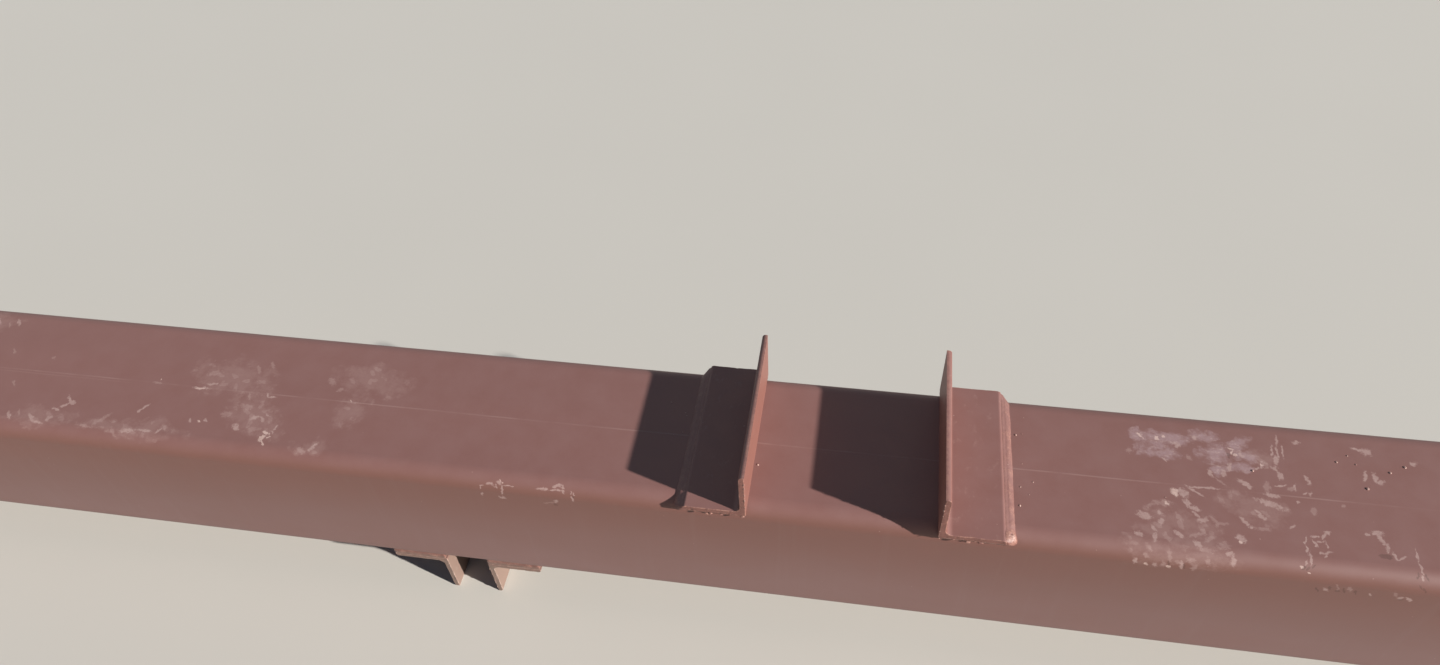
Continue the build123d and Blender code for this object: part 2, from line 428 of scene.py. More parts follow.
def marks_place(graph, x, y, z):
    """The place on the tube's skin as (x, girth), turned half round beyond the marked stretch."""
    side = graph.math("SIGN", graph.math("SUBTRACT", y, tube_axis_y))
    girth = graph.add(y, graph.times(side, graph.math("SUBTRACT", tube_high.z, z)))
    from_start = graph.math("SUBTRACT", x, MARKED_FROM)
    folded = graph.math("PINGPONG", from_start, MARKED_LENGTH)
    same = graph.math("COMPARE", folded, from_start, MM)
    girth = graph.times(girth, graph.between(same, -1.0, 1.0))
    return graph.joined(graph.add(folded, MARKED_FROM), girth)


def broken(graph, inside, fleck, spread, low, high):
    """A mask of patches whose rims noise breaks up. inside is 1 in their middles and 0 beyond them."""
    moved = graph.add(inside, graph.between(fleck, -spread, spread))
    return graph.times(graph.step(moved, low, high), graph.step(inside, 0.0, 0.12))


def strokes(graph, skin, cell, stroke, turn, jitter, share):
    """Short strokes scattered one to a cell. cell and stroke are (length, width), turn is their lie."""
    lie = {"Vector": skin, "Angle": -turn}
    turned = graph.node("ShaderNodeVectorRotate", lie, rotation_type="Z_AXIS").outputs[0]
    size = (cell[0], cell[1], 1)
    cells = graph.vector("DIVIDE", turned, size)
    inputs = {"Vector": cells, "Scale": 1.0}
    voronoi = graph.node("ShaderNodeTexVoronoi", inputs, voronoi_dimensions="2D")
    chance, angle, reach = graph.split(voronoi.outputs["Color"])
    local = graph.vector("MULTIPLY", graph.vector("SUBTRACT", cells, voronoi.outputs["Position"]), size)
    spin = {"Vector": local, "Angle": graph.between(angle, -jitter, jitter)}
    local = graph.node("ShaderNodeVectorRotate", spin, rotation_type="Z_AXIS").outputs[0]
    along, across, _ = graph.split(graph.vector("DIVIDE", local, (stroke[0] / 2, stroke[1] / 2, 1)))
    along = graph.math("DIVIDE", along, graph.between(reach, 0.5, 1.1))
    blunt = graph.math("POWER", graph.math("ABSOLUTE", along), 3.0)
    away = graph.add(blunt, graph.times(across, across))
    return graph.times(graph.step(away, 1.2, 0.6), graph.step(chance, 1 - share, 1.02 - share))


def drops(graph, at, spacing, radius, share):
    """Small round specks, one to a cell at most."""
    cells = graph.node("ShaderNodeTexVoronoi", {"Vector": at, "Scale": 1 / spacing})
    chance, size, _ = graph.split(cells.outputs["Color"])
    reach = graph.times(graph.between(size, 0.35, 1.0), radius / spacing)
    inside = graph.step(graph.math("DIVIDE", cells.outputs["Distance"], reach), 1.2, 0.7)
    return graph.times(inside, graph.step(chance, 1 - share, 1.01 - share))


def primer_coat(graph, at, up, paint):
    """The coat that all pieces share: uneven primer, dust on what faces up, runs on what stands."""
    passes = graph.noise(at, 0.16, 2, 0.5, stretch=(7, 1, 1))
    mottle = graph.noise(at, 0.035, 4, 0.6)
    grain = graph.noise(at, 0.0012, 1, 0.6)
    light = graph.add(graph.between(passes, 0.9, 1.1), graph.between(mottle, -0.05, 0.05))
    light = graph.add(light, graph.between(grain, -0.06, 0.06))
    colour = graph.scaled(paint.primer, light)

    settled = graph.times(graph.step(up, 0.3, 0.9), graph.between(mottle, 0.55, 1.45))
    colour = graph.mixed(colour, paint.dust, graph.times(settled, paint.dust_share))

    runs = graph.noise(at, 0.014, 2, 0.6, stretch=(1, 1, 26))
    standing = graph.step(graph.math("ABSOLUTE", up), 0.6, 0.2)
    runs = graph.times(graph.step(runs, 0.5, 0.8), standing)
    colour = graph.mixed(colour, paint.dust, graph.times(runs, 0.05))

    specks = drops(graph, at, 0.019, 0.0011, 0.2)
    colour = graph.mixed(colour, paint.chalk, graph.times(specks, 0.5))

    roughness = graph.between(mottle, paint.gloss - 0.05, paint.gloss + 0.07)
    roughness = graph.add(roughness, graph.times(settled, 0.12))
    height = graph.add(graph.times(grain, 0.00003), graph.times(mottle, 0.00012))
    return Layers(colour, roughness, height)


def marked(graph, coat, mask, colour, share, roughen=0.1, raise_by=0.0):
    """The coat with a mark over it, where the mask is 1."""
    return Layers(
        graph.mixed(coat.colour, colour, graph.times(mask, share)),
        graph.add(coat.roughness, graph.times(mask, roughen)),
        graph.add(coat.height, graph.times(mask, raise_by)),
    )


def seam_line(graph, x, y, at, paint):
    """The planed seam on the top face: a fine ridge seen in stretches, and a fainter one beside it."""
    drift = graph.between(graph.noise(graph.joined(x, 0.0), 0.25, 2), -1.5 * MM, 1.5 * MM)
    off = graph.math("SUBTRACT", graph.math("SUBTRACT", y, paint.seam_y), drift)
    ridge = graph.step(graph.math("ABSOLUTE", off), 1.7 * MM, 0.6 * MM)
    beside = graph.step(graph.math("ABSOLUTE", graph.add(off, 5 * MM)), 1.3 * MM, 0.4 * MM)
    shows = graph.step(graph.noise(at, 0.03, 4, 0.65, stretch=(5, 1, 1)), 0.4, 0.6)
    shows = graph.between(shows, 0.12, 1.0)
    shows_beside = graph.step(graph.noise(at, 0.08, 3, 0.6, stretch=(6, 1, 1)), 0.52, 0.72)
    return graph.most(graph.times(ridge, shows), graph.times(graph.times(beside, shows_beside), 0.6))


def worn_skin(graph, coat, skin, above, paint):
    """Film, haze, scuffs, flakes and dirt, where above is 1. skin is what marks_place gives."""
    patchy = graph.noise(skin, 0.017, 5, 0.7)
    fine = graph.noise(skin, 0.0045, 5, 0.75)
    traced = graph.swerved(skin, 1 / 150, 7 * MM)
    strayed = graph.swerved(traced, 1 / 28, 55 * MM)
    uneven = graph.times(graph.between(patchy, 0.35, 1.35), graph.between(fine, 0.5, 1.5))

    veil = broken(graph, graph.patches(strayed, FILM), patchy, 1.25, -0.2, 0.85)
    streaks = graph.step(graph.noise(skin, 0.007, 5, 0.75, stretch=(1.6, 0.8, 1)), 0.5, 0.72)
    coat = marked(graph, coat, graph.times(graph.times(veil, uneven), above), paint.film, 0.85, 0.12)
    coat = marked(graph, coat, graph.times(graph.times(veil, streaks), above), paint.flake_and_highlight, 0.45, 0.1)

    treads = strokes(graph, traced, (0.021, 0.015), (0.021, 0.007), math.radians(-40), 0.9, 0.6)
    haze = broken(graph, graph.patches(strayed, HAZE), patchy, 1.1, -0.1, 0.75)
    haze = graph.times(graph.times(haze, uneven), graph.add(0.36, graph.times(treads, 0.4)))
    coat = marked(graph, coat, graph.times(haze, above), paint.chalk, paint.scuff_share, 0.1)

    for marks, spread, low, high, colour, share, roughen in (
        (RUBS, 1.1, 0.1, 0.6, paint.chalk, 0.8, 0.12),
        (FAINT, 1.1, 0.1, 0.6, paint.chalk, 0.4, 0.1),
        (FLAKES, 1.1, 0.15, 0.55, paint.flake_and_highlight, 0.7, 0.1),
        (DIRT, 0.4, 0.12, 0.35, paint.pit, 0.45, 0.1),
    ):
        mask = broken(graph, graph.patches(traced, marks, RIM), fine, spread, low, high)
        mask = graph.times(graph.times(mask, uneven), above)
        coat = marked(graph, coat, mask, colour, share, roughen)
    return coat


def bare_bore(graph, coat, at, y, z, sawn, paint):
    """Bare mill scale with a bloom of rust, on all that lies within the bore."""
    bore_half = tube_half - paint.wall + 0.5 * MM
    beside = graph.math("ABSOLUTE", graph.math("SUBTRACT", y, tube_axis_y))
    over = graph.math("ABSOLUTE", graph.math("SUBTRACT", z, tube_mid_z))
    inside = graph.math("LESS_THAN", graph.most(beside, over), bore_half)
    inside = graph.times(inside, graph.inverse(sawn))
    rust = graph.step(graph.noise(at, 0.05, 7, 0.65), 0.45, 0.65)
    bare = graph.mixed(graph.scaled(paint.scale, graph.between(rust, 1.1, 0.8)), paint.rust, rust)
    return marked(graph, coat, inside, bare, 1.0, 0.12)


def tube_primer(paint):
    """Primer on the tube, with its seam, its worn marks, its sawn ends and its bare bore."""
    graph = Graph(bpy.data.materials.new("tube_primer"))
    at = graph.position()
    x, y, z = graph.split(at)
    along, _, up = graph.facing()
    coat = primer_coat(graph, at, up, paint)

    # How far down the side, for the painted bounce light below
    low = graph.step(z, tube_high.z, tube_low.z + 30 * MM)
    standing = graph.step(graph.math("ABSOLUTE", up), 0.92, 0.4)
    bounce_and_dust = graph.between(graph.noise(at, 0.11, 3, 0.6, stretch=(3, 1, 1)), 0.4, 1.1)
    coat = marked(graph, coat, standing, paint.earth, 0.14, 0.06)
    # Painted bounce light from the floor, with some dust: the sides grow paler towards the bottom, in the
    # dust colour
    coat = marked(graph, coat, graph.times(low, bounce_and_dust), paint.dust, 0.4, 0.1)

    above = graph.step(z, tube_mid_z, tube_mid_z + 20 * MM)
    coat = worn_skin(graph, coat, marks_place(graph, x, y, z), above, paint)
    seam = graph.times(seam_line(graph, x, y, at, paint), graph.step(up, 0.9, 0.99))
    coat = marked(graph, coat, seam, paint.chalk, 0.24, 0.0, 0.00012)

    # Ends: lines that the saw left, with dirt in them
    sawn = graph.step(graph.math("ABSOLUTE", along), 0.7, 0.95)
    lines = graph.noise(at, 0.0016, 2, 0.5, stretch=(1, 30, 1))
    coat = marked(graph, coat, graph.times(sawn, lines), paint.pit, 0.3, 0.1, 0.0002)
    return graph.finish(*bare_bore(graph, coat, at, y, z, sawn, paint))


def cleat_primer(paint):
    """Primer on the angles: thin on the arrises, and pitted with dirt on the cut ends."""
    graph = Graph(bpy.data.materials.new("cleat_primer"))
    at = graph.position()
    _, _, z = graph.split(at)
    _, _, up = graph.facing()
    coat = primer_coat(graph, at, up, paint)
    cut, worn = graph.attribute("cut"), graph.attribute("worn")

    speckle = graph.noise(at, 0.003, 4, 0.7)
    coat = marked(graph, coat, graph.times(cut, graph.step(speckle, 0.55, 0.72)), paint.thin_and_highlight, 0.3, 0.1)
    coat = marked(graph, coat, graph.times(cut, graph.step(speckle, 0.52, 0.3)), paint.pit, 0.3, 0.2)

    rubbed = graph.times(worn, graph.step(graph.noise(at, 0.006, 4, 0.65), 0.38, 0.6))
    coat = marked(graph, coat, rubbed, paint.thin_and_highlight, 0.85)
    smears = graph.step(graph.noise(at, 0.014, 6, 0.72, stretch=(1, 1.6, 1)), 0.56, 0.74)
    coat = marked(graph, coat, smears, paint.chalk, 0.28)
    standing = graph.step(graph.math("ABSOLUTE", up), 0.6, 0.2)
    coat = marked(graph, coat, standing, paint.thin_and_highlight, 0.12)
    low = graph.step(z, tube_low.z + 12 * MM, tube_low.z - 12 * MM)
    coat = marked(graph, coat, graph.times(rubbed, low), paint.flake_and_highlight, 0.5)
    coat = marked(graph, coat, graph.times(low, graph.between(smears, 0.8, 1.2)), paint.mud, 0.64, 0.1)
    return graph.finish(*coat)


def weld_primer(paint):
    """Primer on the weld metal: painted highlight on crests, painted shade in troughs and pits."""
    graph = Graph(bpy.data.materials.new("weld_primer"))
    at = graph.position()
    _, _, z = graph.split(at)
    _, _, up = graph.facing()
    coat = primer_coat(graph, at, up, paint)
    low = graph.step(z, tube_low.z + 25 * MM, tube_low.z - 12 * MM)
    coat = marked(graph, coat, low, paint.mud, 0.5, 0.1)
    # Painted light from the beads' shape: painted highlight on crests, lumps and drops, in the pale
    # primer colour
    crest = graph.attribute("crest")
    speckle = graph.noise(at, 0.002, 3, 0.65)
    painted_highlight = graph.times(graph.step(crest, 0.45, 0.95), graph.step(speckle, 0.35, 0.6))
    coat = marked(graph, coat, painted_highlight, paint.thin_and_highlight, 0.75, -0.05)
    # Painted shade in the troughs between ripples and in the pits
    coat = marked(graph, coat, graph.step(crest, 0.28, 0.05), paint.pit, 0.55, 0.15)
    # A brighter painted highlight where the value passes 1: on spatter, dross, nuggets and a bead's swell
    coat = marked(graph, coat, graph.times(graph.step(crest, 1.0, 1.6), painted_highlight), paint.flake_and_highlight, 0.6, -0.05)
    height = graph.add(coat.height, graph.times(speckle, 0.00025))
    return graph.finish(coat.colour, coat.roughness, height)


def unit(vectors):
    return vectors / np.linalg.norm(vectors, axis=-1, keepdims=True)


def rough(points, size, seed):
    """Noise from -1 to 1 at each point, with patches of about this size."""
    flat = points.reshape(-1, 3)
    values = [noise.noise(Vector(p) / size + Vector((seed, seed * 2.3, seed * 0.7))) for p in flat]
    return np.array(values).reshape(points.shape[:-1])


def make_piece(name, vertices, faces, material, slot, replaced, **attributes):
    """A closed mesh piece that rides on the column and stands for one CAD node."""
    mesh = bpy.data.meshes.new(name)
    mesh.from_pydata(vertices.tolist(), [], faces)
    for key, values in attributes.items():
        mesh.attributes.new(key, "FLOAT", "POINT").data.foreach_set("value", values.astype(np.float32))
    tidy = bmesh.new()
    tidy.from_mesh(mesh)
    bmesh.ops.recalc_face_normals(tidy, faces=tidy.faces)
    tidy.to_mesh(mesh)
    tidy.free()
    mesh.shade_smooth()
    mesh.set_sharp_from_angle(angle=math.radians(40))
    mesh.materials.append(material)
    piece = bpy.data.objects.new(name, mesh)
    bpy.context.scene.collection.objects.link(piece)
    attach(piece, BODY)
    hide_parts(replaced)


class Seat:
    """Where one cleat sits, and how its own measures (out, y, rise) turn into the model's X, Y and Z.

    out runs from its heel along the flat leg, and rise from the tube's face along the upright leg.
    """

    def __init__(self, place):
        low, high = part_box(place + "_cleat")
        self.name = place
        self.side = 1 if place.endswith("right") else -1
        self.way = 1 if place.startswith("upper") else -1
        self.heel = low.x if self.side > 0 else high.x
        self.face = low.z if self.way > 0 else high.z
        self.near, self.far = low.y, high.y
        self.leg = high.x - low.x
        self.seed = 11.0 * (PLACES.index(place) + 1)

    def to_model(self, points):
        out, y, rise = points[..., 0], points[..., 1], points[..., 2]
        return np.stack((self.heel + self.side * out, y, self.face + self.way * rise), axis=-1)


def angle_outline(seat, cleats, columns=100, turns=12):
    """Matching points on the outer and the inner side of a rolled angle, from toe to toe."""
    thickness, root, toe = cleats.thickness, cleats.root_radius, cleats.toe_radius
    bend = thickness + root
    out = np.linspace(seat.leg, bend, columns)
    past = np.clip(out - (seat.leg - toe), 0, toe)
    leg_inner = np.stack((out, thickness - toe + np.sqrt(toe**2 - past**2)), -1)
    leg_outer = np.stack((out, np.zeros(columns)), -1)
    angles = np.radians(np.linspace(270, 180, 2 * turns + 1)[1:-1])
    bend_inner = bend + root * np.stack((np.cos(angles), np.sin(angles)), -1)
    share = np.linspace(0, 2, 2 * turns + 1)[1:-1]
    bend_outer = bend * np.stack((np.clip(1 - share, 0, 1), np.clip(share - 1, 0, 1)), -1)
    inner = np.concatenate((leg_inner, bend_inner, leg_inner[::-1, ::-1]))
    outer = np.concatenate((leg_outer, bend_outer, leg_outer[::-1, ::-1]))
    return outer, inner


def lattice_skin(points):
    """The outside of a lattice of points [i, j, k]: its vertices, its quads and which points it uses."""
    index = np.arange(points[..., 0].size).reshape(points.shape[:3])
    quads = []
    for axis in range(3):
        for end in (0, -1):
            sheet = np.take(index, end, axis=axis)
            corners = (sheet[:-1, :-1], sheet[1:, :-1], sheet[1:, 1:], sheet[:-1, 1:])
            quads.append(np.stack(corners, -1).reshape(-1, 4))
    used, faces = np.unique(np.concatenate(quads), return_inverse=True)
    return points.reshape(-1, 3)[used], faces.reshape(-1, 4).tolist(), used


def cut_in(ring, cleats, seed):
    """How far the cutter went into the end at each point of a ring."""
    face = ring.copy()
    face[..., 1] = 0
    wander = rough(face, 13 * MM, seed)
    drag = rough(face, 2.2 * MM, seed + 1)
    nicks = np.clip(rough(face, 5 * MM, seed + 2) - 0.35, 0, 1)
    into = cleats.cut_wave * (0.5 + 0.5 * wander) + cleats.cut_drag * (0.5 + drag)
    return into + cleats.nick_depth * nicks


def cleat_rings(seat, cleats):
    """Rings along a cleat, close together at both ends: (distance from the end, arris's inset, y)."""
    turn = np.radians((0, 30, 60, 90))
    near_rings = [(cleats.arris * (1 - math.cos(a)), cleats.arris * (1 - math.sin(a))) for a in turn]
    near_rings += [(d * MM, 0.0) for d in (1.5, 3, 5, 8, 14, 24, 40)]
    middle = ((seat.far - seat.near) / 2, 0.0, (seat.near + seat.far) / 2)
    near = [(d, inset, seat.near + d) for d, inset in near_rings]
    far = [(d, inset, seat.far - d) for d, inset in reversed(near_rings)]
    return near + [middle] + far


def make_cleat(seat, cleats, material):
    """One angle: rolled faces, rounded arrises and ends that the cutter left rough."""
    outer, inner = angle_outline(seat, cleats)
    layers = np.linspace(0, 1, 9)[None, :, None]
    section = outer[:, None] * (1 - layers) + inner[:, None] * layers
    count, depth = section.shape[:2]

    inward = np.zeros_like(section)
    across = unit(inner - outer)
    inward[:, 0] += across
    inward[:, -1] -= across
    inward[0] += unit(outer[1] - outer[0])
    inward[-1] += unit(outer[-2] - outer[-1])
    on_edge = np.zeros((count, depth))
    on_edge[:, 0] = on_edge[:, -1] = on_edge[0] = on_edge[-1] = 1

    # The tip of the upright or hanging leg is a little worn all along
    tip = np.zeros((count, depth))
    tip[-1] = 0.4

    points, cut, worn = [], [], []
    for distance, inset, y in cleat_rings(seat, cleats):
        flat = section + inward * inset
        ring = np.stack((flat[..., 0], np.full((count, depth), y), flat[..., 1]), -1)
        at_near = y < (seat.near + seat.far) / 2
        fade = max(0.0, 1 - max(0.0, distance - cleats.arris) / CUT_REACH)
        if fade:
            into = cut_in(ring, cleats, seat.seed + (0 if at_near else 5))
            ring[..., 1] += (1 if at_near else -1) * into * fade
        points.append(ring)
        cut.append(np.full((count, depth), float(distance < cleats.arris * 0.6)))
        worn.append(np.maximum(on_edge * float(distance < cleats.arris * 1.5), tip))
    points, cut, worn = (np.stack(part, axis=2) for part in (points, cut, worn))
    vertices, faces, used = lattice_skin(seat.to_model(points))
    make_piece(
        seat.name + "_angle", vertices, faces, material, "cleat_primer", seat.name + "_cleat",
        cut=cut.reshape(-1)[used], worn=worn.reshape(-1)[used],
    )


Shell = namedtuple("Shell", "vertices faces crest")


def closed_rings(rings, crest):
    """A closed skin over a row of closed rings [ring, point], with a flat cap on each end."""
    count, size = rings.shape[:2]
    index = np.arange(count * size).reshape(count, size)
    turned = np.roll(index, -1, axis=1)
    quads = np.stack((index[:-1], turned[:-1], turned[1:], index[1:]), -1).reshape(-1, 4).tolist()
    caps = [index[0].tolist(), index[-1].tolist()]
    return Shell(rings.reshape(-1, 3), quads + caps, crest.reshape(-1))


def joined_shells(shells):
    """Several closed skins as one list of vertices and faces."""
    faces, start = [], 0
    for shell in shells:
        faces += [[start + corner for corner in face] for face in shell.faces]
        start += len(shell.vertices)
    return np.concatenate([s.vertices for s in shells]), faces, np.concatenate([s.crest for s in shells])


def bead(crown, foot, root, welds, seed, swell, uneven, two_runs=0.0, pits=()):
    """One weld bead between three long edges: its crown, its foot, and its root inside the joint.

    swell is how much further the face stands proud, uneven scales its ripples and lumps, two_runs is
    the depth of the trough between two runs, and pits are small craters as (place, radius, depth).
    """
    across = np.linspace(0, 1, 17)[None, :, None]
    chord = crown[:, None] * (1 - across) + foot[:, None] * across
    middle = (crown + foot) / 2
    run = np.concatenate(([0], np.cumsum(np.linalg.norm(np.diff(middle, axis=0), axis=1))))
    over = unit(foot - crown)
    proud = middle - root
    proud = unit(proud - over * (proud * over).sum(-1, keepdims=True))

    # Ripples of an unsteady pitch, which lag at both edges of the bead
    share = across[..., 0]
    arch = 4 * share * (1 - share)
    lag = 1.6 * (1 - arch)
    unsteady = rough(middle, 17 * MM, seed + 3)[:, None]
    phase = run[:, None] / welds.ripple_pitch + 0.9 * unsteady - lag
    ripple = 1 - np.abs(2 * (phase % 1) - 1) ** 1.5
    lumps = rough(chord, welds.lump_size, seed) + 0.5 * rough(chord, welds.lump_size / 2.6, seed + 1)
    ripple = welds.ripple_height * ripple * (0.6 + 0.4 * unsteady)
    raised = uneven * (ripple + welds.lump_height * lumps)

    # The face: arched, with a trough between two runs, a third of the way down
    trough = np.exp(-(((share - 0.33) / 0.1) ** 2)) * two_runs
    stands = (welds.bulge + swell[:, None]) * arch + raised * np.sqrt(arch) - trough
    face = chord + proud[:, None] * stands[..., None]
    # The painted light at each point of the face: high on crests and lumps and higher on a swell, for a
    # painted highlight; low in troughs, for painted shade
    high = raised - trough * 0.6
    crest = np.clip(0.55 + 0.8 * high / (welds.ripple_height + welds.lump_height), 0, 1)
    crest = crest + 0.4 * swell[:, None] / MM * arch
    for place, radius, depth in pits:
        away = np.linalg.norm(face - np.array(place), axis=-1) / radius
        hollow = np.exp(-(away**2))
        face -= proud[:, None] * (depth * hollow)[..., None]
        # A pit gets painted shade
        crest = crest * (1 - hollow)

    rings = np.concatenate((face, root[:, None]), axis=1)
    crest = np.concatenate((crest, np.full((len(crown), 1), 0.5)), axis=1)

    # Both ends are drawn in, so that the bead starts and stops round
    centre = rings.mean(axis=1, keepdims=True)
    reach = 4 * MM
    near_end = np.minimum(run, run[-1] - run)
    shrink = np.sqrt(np.clip(1 - (1 - np.clip(near_end / reach, 0, 1)) ** 2, 0.01, 1))
    return closed_rings(centre + (rings - centre) * shrink[:, None, None], crest)


def pebble(centre, radii, seed, bare, uneven=0.18, rows=9, columns=12):
    """A small round lump of metal. radii are along out, y and rise, and bare sets its painted highlight.
    """
    polar = np.linspace(0.12, math.pi - 0.12, rows)[:, None]
    turn = np.linspace(0, 2 * math.pi, columns, endpoint=False)[None, :]
    girth = np.sin(polar)
    ball = np.stack((girth * np.cos(turn), girth * np.sin(turn), np.cos(polar) + 0 * turn), -1)
    ball *= 1 + uneven * rough(ball * MM, 0.9 * MM, seed)[..., None]
    rings = np.array(centre) + ball * np.array(radii)
    return closed_rings(rings, np.full(rings.shape[:2], bare))


def tube_drop(y, radius):
    """How far the tube's rounded corner has dropped below its flat face at y."""
    beyond = np.clip(np.abs(y - tube_axis_y) - (tube_half - radius), 0, radius)
    return radius - np.sqrt(radius**2 - beyond**2)


def end_foot(welds, radius):
    """How far from the tube's axis the foot of the end beads lies."""
    return tube_half - radius + math.sqrt(radius**2 - (radius - welds.end_depth) ** 2)


def toe_bead(seat, welds, radius):
    """The bead along the toe. It bridges the drop at the tube's round corners."""
    upper = seat.way > 0
    near = seat.near + (welds.setback if upper else LOWER_INSET)
    far = seat.far - welds.setback
    y = np.linspace(near, far, int((far - near) / RING_STEP))
    drop = BRIDGE_DEPTH * np.tanh(tube_drop(y, radius) / BRIDGE_DEPTH)
    line = np.stack((y * 0, y, y * 0), -1)
    wander = 0.8 * MM * rough(line, 30 * MM, seat.seed) + 0.35 * MM * rough(line, 8 * MM, seat.seed + 1)

    # The upper right bead starts with a clear swell, the others hardly
    swollen = 1.0 if seat.name == "upper_right" else 0.15
    swell = swollen * np.exp(-(((y - near - SWELL_PLACE) / SWELL_LENGTH) ** 2))
    share = 1 - 0.6 * np.clip((y - far + FAR_TAPER) / FAR_TAPER, 0, 1) ** 1.5
    share -= 0.6 * np.clip((near + NEAR_ROUND - y) / NEAR_ROUND, 0, 1) ** 2.5
    width = welds.toe_width * share + wander + welds.swell * swell
    height = welds.toe_height + 0.3 * wander + 0.9 * MM * swell
    crown = np.stack((y * 0 + seat.leg - LAP, y, height), -1)
    foot = np.stack((seat.leg + width, y, -drop - SUNK), -1)
    root = np.stack((y * 0 + seat.leg - ROOT_IN, y, -drop - ROOT_DOWN), -1)
    pit = ((seat.leg + 7 * MM, near + 15 * MM, 5 * MM), 1.6 * MM, 1.8 * MM)
    pits = (pit,) if upper else ()
    return bead(crown, foot, root, welds, seat.seed + 20, welds.swell * swell, 0.45, welds.trough, pits)


def nuggets(seat):
    """Uneven small lumps below the flat leg's near end."""
    draw = random.Random(int(seat.seed) + 9)
    shells = []
    for share in (0.04, 0.08, 0.17, 0.24, 0.41, 0.56, 0.61, 0.83):
        size = draw.uniform(0.9, 2.0) * MM
        out = seat.leg * (share + draw.uniform(-0.03, 0.03))
        place = (out, seat.near + draw.uniform(1.5, 3) * MM, -draw.uniform(0.5, 6) * MM)
        radii = (size * draw.uniform(1, 2.4), size * 0.9, size * draw.uniform(0.7, 1.1))
        # The fourth number is how much painted highlight the nugget gets
        shells.append(pebble(place, radii, draw.uniform(0, 50), draw.uniform(0.6, 1.3), 0.4))
    return shells


def end_bead(seat, welds, radius, near):
    """The bead that fills the flare between a cleat's end and the tube's round corner."""
    last = seat.leg + (5 * MM if seat.way > 0 else 0)
    out = np.linspace(SUNK, last, int(last / RING_STEP))
    outward = -1 if near else 1
    top_y = seat.near + welds.setback if near else seat.far - welds.setback
    foot_y = tube_axis_y + outward * (end_foot(welds, radius) - SUNK)
    root_y = tube_axis_y + outward * (tube_half - welds.end_root)
    line = np.stack((out, out * 0 + top_y, out * 0), -1)
    seed = seat.seed + (40 if near else 60)
    sag = 2.6 * MM * np.abs(rough(line, 17 * MM, seed)) + 0.8 * MM * rough(line, 6 * MM, seed + 1)
    sag -= 1 * MM
    crown = np.stack((out, out * 0 + top_y, out * 0 + SUNK), -1)
    foot = np.stack((out, out * 0 + foot_y, sag - welds.end_depth), -1)
    root = np.stack((out, out * 0 + root_y, out * 0 + SUNK), -1)
    return bead(crown, foot, root, welds, seed + 2, out * 0, 0.75)


# Larger drops of spatter on the top face, given as (x, y, radius) in millimetres, by weld
DROPS = {
    "upper_left": ((484, -42, 1.4),),
    "upper_right": (
        (849, 56, 1.3), (858, 59, 0.7), (852, -34, 0.9), (850, -65, 1.2), (1170, 33, 1.5),
        (1286, 62, 1.3), (1303, 75, 1.0), (1311, 61, 1.0), (1316, 21, 1.8), (1353, 52, 1.5),
        (1375, 64, 1.7),
    ),
}


def spatter(seat, welds):
    """Small balls of metal stuck to the tube's flat face beside the toe bead."""
    draw = random.Random(int(seat.seed) + 7)
    edge = seat.leg + welds.toe_width
    shells = []
    for x, y, size in DROPS.get(seat.name, ()):
        out = seat.side * (x * MM - seat.heel)
        shells.append((out, y * MM, size * MM))
    for _ in range(welds.spatter):
        out = edge + 3 * MM + draw.expovariate(1 / 0.03)
        shells.append((out, tube_axis_y + draw.uniform(-0.09, 0.09), draw.uniform(0.4, 0.9) * MM))
    # Each drop gets a strong painted highlight, 2
    return [
        pebble((out, y, size * 0.15), (size * 1.2, size * 1.2, size * 0.75), draw.uniform(0, 50), 2)
        for out, y, size in shells
    ]


def dross(seat):
    """Nubs that the cutter left on the heel edge of the near end."""
    draw = random.Random(int(seat.seed) + 3)
    shells = []
    for rise in (18, 37, 52, 66, 79):
        size = draw.uniform(0.7, 1.25) * MM
        out, in_from_end = draw.uniform(-0.1, 0.5) * MM, draw.uniform(0.3, 0.9) * MM
        place = (out, seat.near + in_from_end, (rise + draw.uniform(-4, 4)) * MM)
        radii = (size, size * 0.9, size * draw.uniform(0.9, 2.2))
        # Each nub gets a painted highlight of 1.3
        shells.append(pebble(place, radii, draw.uniform(0, 50), 1.3, 0.35))
    return shells


def make_weld(seat, welds, paint, material):
    """All the weld metal of one cleat, as one piece."""
    radius = paint.corner_radius
    shells = [toe_bead(seat, welds, radius)]
    shells += [end_bead(seat, welds, radius, near) for near in (True, False)]
    shells += spatter(seat, welds) + dross(seat)
    if seat.way > 0:
        shells += nuggets(seat)
    vertices, faces, crest = joined_shells(shells)
    make_piece(
        seat.name + "_beads", seat.to_model(vertices), faces, material, "weld_primer",
        seat.name + "_weld", crest=crest,
    )


class COLUMN_OT_paint_tube(bpy.types.Operator):
    """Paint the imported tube, with its marks, seam, sawn ends and bare bore"""

    bl_idname = "column.paint_tube"
    bl_label = "Paint Tube"

    def execute(self, context):
        material = tube_primer(context.scene.column_paint)
        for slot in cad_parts["column_tube"].material_slots:
            slot.material = material
        return {"FINISHED"}


class COLUMN_OT_make_cleats(bpy.types.Operator):
    """Make the four angle cleats with worn arrises and rough ends"""

    bl_idname = "column.make_cleats"
    bl_label = "Make Cleats"

    def execute(self, context):
        material = cleat_primer(context.scene.column_paint)
        for place in PLACES:
            make_cleat(Seat(place), context.scene.column_cleats, material)
        return {"FINISHED"}


class COLUMN_OT_make_welds(bpy.types.Operator):
    """Make the weld beads of each cleat, with the spatter beside them"""

    bl_idname = "column.make_welds"
    bl_label = "Make Welds"

    def execute(self, context):
        scene = context.scene
        material = weld_primer(scene.column_paint)
        for place in PLACES:
            make_weld(Seat(place), scene.column_welds, scene.column_paint, material)
        return {"FINISHED"}


